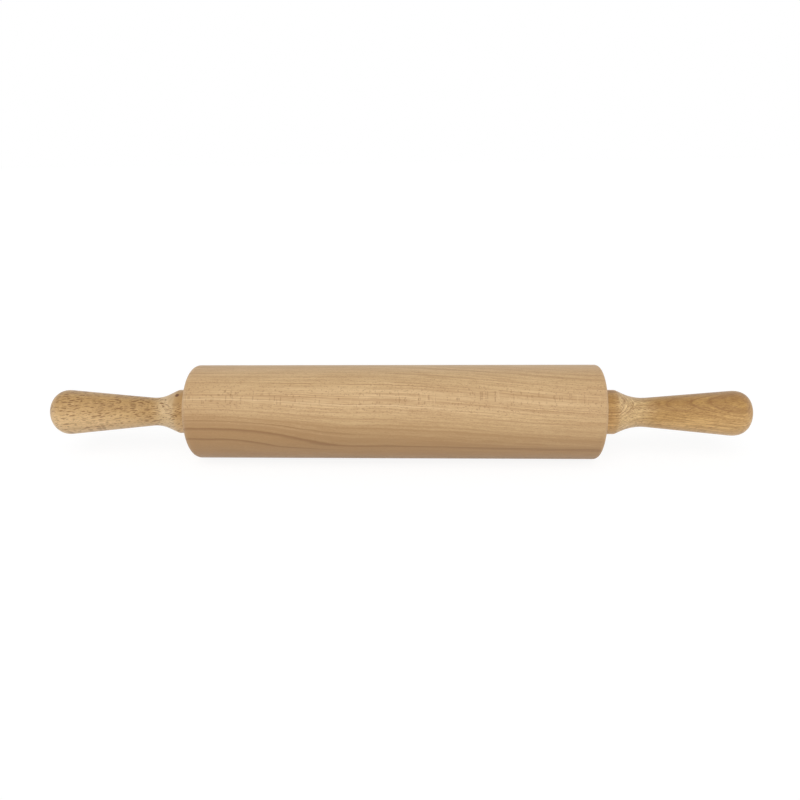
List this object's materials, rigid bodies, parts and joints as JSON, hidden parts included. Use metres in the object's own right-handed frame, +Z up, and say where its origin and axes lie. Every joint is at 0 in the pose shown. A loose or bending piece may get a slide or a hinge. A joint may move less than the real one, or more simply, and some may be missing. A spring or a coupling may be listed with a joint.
{
  "type": "rolling pin",
  "caption": "Wooden baker's rolling pin: a plain cylindrical roller that turns on ball bearings between turned, dome-ended handles.",
  "frame": {"origin": "middle of the roller, on its axis", "axes": "+X along the pin towards the right handle, +Z up, the worktop at z = -0.029 m"},
  "size_m": [0.4332, 0.058, 0.058],
  "materials": {
    "beech": "bare sanded beech, matt",
    "handle_wood_left": "turned, satin oil",
    "handle_wood_right": "turned, satin oil",
    "rod_steel": "drawn bright steel",
    "bearing_steel": "ground and polished",
    "pressed_steel": "pressed sheet",
    "spring_steel": "blackened",
    "washer_brass": "stamped"
  },
  "bodies": {
    "handles_and_axle": {"handle_left": "handle_wood_left", "handle_right": "handle_wood_right", "axle_rod": "rod_steel", "bearing_inner_ring_left": "bearing_steel", "retaining_clip_left": "spring_steel", "spacer_washer_left": "washer_brass", "bearing_inner_ring_right": "bearing_steel", "retaining_clip_right": "spring_steel", "spacer_washer_right": "washer_brass"},
    "roller": {"barrel": "beech", "bearing_outer_ring_left": "bearing_steel", "shield_inboard_left": "pressed_steel", "shield_outboard_left": "pressed_steel", "bearing_outer_ring_right": "bearing_steel", "shield_inboard_right": "pressed_steel", "shield_outboard_right": "pressed_steel"},
    "ball_set_left": {"bearing_balls_left": "bearing_steel", "cage_half_inboard_left": "pressed_steel", "cage_half_outboard_left": "pressed_steel", "cage_rivets_left": "bearing_steel"},
    "ball_set_right": {"bearing_balls_right": "bearing_steel", "cage_half_inboard_right": "pressed_steel", "cage_half_outboard_right": "pressed_steel", "cage_rivets_right": "bearing_steel"}
  },
  "joints": [
    {"name": "barrel_spin", "type": "hinge", "parent": "handles_and_axle", "child": "roller", "pos_m": [0, 0, 0], "axis": [1, 0, 0], "continuous": true},
    {"name": "ball_set_left_spin", "type": "hinge", "parent": "handles_and_axle", "child": "ball_set_left", "pos_m": [-0.121, 0, 0], "axis": [1, 0, 0], "continuous": true},
    {"name": "ball_set_right_spin", "type": "hinge", "parent": "handles_and_axle", "child": "ball_set_right", "pos_m": [0.121, 0, 0], "axis": [1, 0, 0], "continuous": true}
  ],
  "couplings": [
    {"joint": "ball_set_left_spin", "follows": "barrel_spin", "ratio": 0.6323},
    {"joint": "ball_set_right_spin", "follows": "barrel_spin", "ratio": 0.6323}
  ]
}
